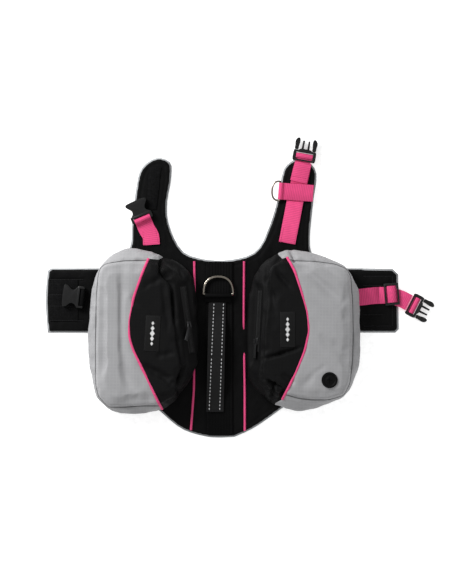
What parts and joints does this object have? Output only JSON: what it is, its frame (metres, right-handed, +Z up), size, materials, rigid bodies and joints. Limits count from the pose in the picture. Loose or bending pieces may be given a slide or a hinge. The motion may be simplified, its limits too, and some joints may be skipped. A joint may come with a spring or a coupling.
{
  "type": "dog harness vest",
  "caption": "Padded dog harness vest with saddle bags, grab handle, leash ring, neck straps and belly wings closed by side-release buckles.",
  "frame": {"origin": "on the underside of the lining, on the spine line, at the vest's resting plane", "axes": "+X across the vest, to the right with the neck opening upward in plan; +Y along the spine to the neck; +Z up, away from the dog"},
  "size_m": [0.5852, 0.4524, 0.0527],
  "materials": {
    "black_nylon": "plain-weave nylon",
    "black_webbing": "ribbed nylon webbing",
    "lining_mesh": "air mesh",
    "grey_oxford": "oxford weave",
    "pink_webbing": "nylon webbing",
    "hook_tape": "hook-and-loop tape",
    "woven_label": "satin weave",
    "black_plastic": "satin acetal",
    "nickel": "plated steel wire",
    "rubber": "soft rubber"
  },
  "bodies": {
    "vest": {"back_lining": "lining_mesh", "back_shell": "black_nylon", "spine_webbing": "black_webbing", "back_piping_left": "pink_webbing", "back_piping_right": "pink_webbing", "d_ring_tab": "black_webbing", "handle_top_end": "black_webbing", "handle_bottom_end": "black_webbing", "left_bag_back": "black_nylon", "left_bag_grey_front": "grey_oxford", "left_bag_black_front": "black_nylon", "left_bag_piping": "pink_webbing", "left_bag_grey_gusset": "grey_oxford", "left_bag_spine_gusset": "black_nylon", "left_bag_zip_tape": "black_nylon", "left_bag_label": "woven_label", "right_bag_back": "black_nylon", "right_bag_grey_front": "grey_oxford", "right_bag_black_front": "black_nylon", "right_bag_piping": "pink_webbing", "right_bag_grey_gusset": "grey_oxford", "right_bag_spine_gusset": "black_nylon", "right_bag_zip_tape": "black_nylon", "right_bag_label": "woven_label", "right_bag_port": "rubber"},
    "back_ring": {"back_d_ring": "nickel"},
    "handle": {"handle_grip": "black_webbing"},
    "left_zip_slider": {"left_bag_zip_slider": "black_plastic"},
    "left_zip_pull": {"left_bag_zip_pull": "black_nylon"},
    "right_zip_slider": {"right_bag_zip_slider": "black_plastic"},
    "right_zip_pull": {"right_bag_zip_pull": "black_nylon"},
    "left_neck": {"left_neck_shell": "black_nylon", "left_neck_lining": "lining_mesh", "left_neck_hook_patch": "hook_tape", "left_neck_webbing": "pink_webbing"},
    "left_neck_buckle": {"left_neck_socket": "black_plastic"},
    "right_neck": {"right_neck_shell": "black_nylon", "right_neck_lining": "lining_mesh", "right_neck_webbing": "pink_webbing", "right_neck_webbing_fold": "pink_webbing", "keeper_band": "pink_webbing"},
    "chest_ring": {"chest_d_ring": "nickel"},
    "right_neck_buckle": {"right_neck_plug": "black_plastic", "right_neck_plug_loop": "pink_webbing"},
    "right_neck_arm_left": {"right_neck_plug_arm_left": "black_plastic"},
    "right_neck_arm_right": {"right_neck_plug_arm_right": "black_plastic"},
    "left_wing": {"left_wing_shell": "black_nylon", "left_wing_lining": "lining_mesh", "left_wing_hook_patch": "hook_tape", "left_wing_webbing": "pink_webbing"},
    "left_wing_buckle": {"left_wing_socket": "black_plastic"},
    "right_wing": {"right_wing_shell": "black_nylon", "right_wing_lining": "lining_mesh", "right_wing_webbing": "pink_webbing"},
    "tri_glide": {"right_wing_tri_glide": "black_plastic", "right_wing_webbing_hump": "pink_webbing"},
    "right_wing_buckle": {"right_wing_plug": "black_plastic", "right_wing_plug_loop": "pink_webbing"},
    "right_wing_arm_left": {"right_wing_plug_arm_left": "black_plastic"},
    "right_wing_arm_right": {"right_wing_plug_arm_right": "black_plastic"}
  },
  "joints": [
    {"name": "left_neck_fold", "type": "hinge", "parent": "vest", "child": "left_neck", "pos_m": [-0.098, 0.1565, 0.0059], "axis": [1, 0, 0], "range_deg": [0, 70]},
    {"name": "right_neck_fold", "type": "hinge", "parent": "vest", "child": "right_neck", "pos_m": [0.098, 0.1565, 0.0059], "axis": [1, 0, 0], "range_deg": [0, 70]},
    {"name": "left_wing_fold", "type": "hinge", "parent": "vest", "child": "left_wing", "pos_m": [-0.2005, 0.0735, 0.0059], "axis": [0, 1, 0], "range_deg": [0, 40]},
    {"name": "right_wing_fold", "type": "hinge", "parent": "vest", "child": "right_wing", "pos_m": [0.2145, 0.0735, 0.0059], "axis": [0, -1, 0], "range_deg": [0, 75]},
    {"name": "left_neck_buckle_swing", "type": "hinge", "parent": "left_neck", "child": "left_neck_buckle", "pos_m": [-0.1159, 0.196, 0.0115], "axis": [0.9205, 0.3907, 0], "range_deg": [0, 55]},
    {"name": "left_wing_buckle_swing", "type": "hinge", "parent": "left_wing", "child": "left_wing_buckle", "pos_m": [-0.2063, 0.078, 0.0115], "axis": [0.1219, 0.9925, 0], "range_deg": [0, 45]},
    {"name": "right_neck_buckle_swing", "type": "hinge", "parent": "right_neck", "child": "right_neck_buckle", "pos_m": [0.12594, 0.28164, 0.0078], "axis": [0.9848, -0.1736, 0], "range_deg": [0, 60]},
    {"name": "right_neck_arm_left_flex", "type": "hinge", "parent": "right_neck_buckle", "child": "right_neck_arm_left", "pos_m": [0.11545, 0.30278, 0.007], "axis": [0, 0, -1], "range_deg": [0, 6], "stiffness_Nm_per_rad": 0.5},
    {"name": "right_neck_arm_right_flex", "type": "hinge", "parent": "right_neck_buckle", "child": "right_neck_arm_right", "pos_m": [0.14302, 0.29792, 0.007], "axis": [0, 0, 1], "range_deg": [0, 6], "stiffness_Nm_per_rad": 0.5},
    {"name": "right_wing_buckle_swing", "type": "hinge", "parent": "right_wing", "child": "right_wing_buckle", "pos_m": [0.28538, 0.06989, 0.0078], "axis": [-0.454, -0.891, 0], "range_deg": [0, 60]},
    {"name": "right_wing_arm_left_flex", "type": "hinge", "parent": "right_wing_buckle", "child": "right_wing_arm_left", "pos_m": [0.30867, 0.07373, 0.007], "axis": [0, 0, -1], "range_deg": [0, 6], "stiffness_Nm_per_rad": 0.5},
    {"name": "right_wing_arm_right_flex", "type": "hinge", "parent": "right_wing_buckle", "child": "right_wing_arm_right", "pos_m": [0.29595, 0.04879, 0.007], "axis": [0, 0, 1], "range_deg": [0, 6], "stiffness_Nm_per_rad": 0.5},
    {"name": "chest_ring_swing", "type": "hinge", "parent": "right_neck", "child": "chest_ring", "pos_m": [0.092, 0.238, 0.0096], "axis": [0.0698, 0.9976, 0], "range_deg": [0, 110]},
    {"name": "back_ring_swing", "type": "hinge", "parent": "vest", "child": "back_ring", "pos_m": [-0.002, 0.081, 0.01175], "axis": [1, 0, 0], "range_deg": [0, 120]},
    {"name": "handle_lift", "type": "slide", "parent": "vest", "child": "handle", "axis": [0, 0, 1], "range_m": [0, 0.015]},
    {"name": "tri_glide_slide", "type": "slide", "parent": "right_wing", "child": "tri_glide", "axis": [0.9962, 0.0872, 0], "range_m": [-0.018, 0.003]},
    {"name": "left_zip_slide", "type": "slide", "parent": "vest", "child": "left_zip_slider", "axis": [0.1362, -0.9907, 0], "range_m": [-0.05, 0.035]},
    {"name": "left_zip_pull_swing", "type": "hinge", "parent": "left_zip_slider", "child": "left_zip_pull", "pos_m": [-0.04395, 0.0372, 0.03788], "axis": [-0.714, 0.3757, 0.5908], "range_deg": [0, 110]},
    {"name": "right_zip_slide", "type": "slide", "parent": "vest", "child": "right_zip_slider", "axis": [-0.0499, -0.9988, 0], "range_m": [-0.07, 0.012]},
    {"name": "right_zip_pull_swing", "type": "hinge", "parent": "right_zip_slider", "child": "right_zip_pull", "pos_m": [0.05339, 0.01274, 0.0353], "axis": [-0.4994, 0.025, -0.866], "range_deg": [0, 110]}
  ],
  "couplings": [
    {"joint": "right_neck_arm_right_flex", "follows": "right_neck_arm_left_flex", "ratio": 1},
    {"joint": "right_wing_arm_right_flex", "follows": "right_wing_arm_left_flex", "ratio": 1}
  ]
}
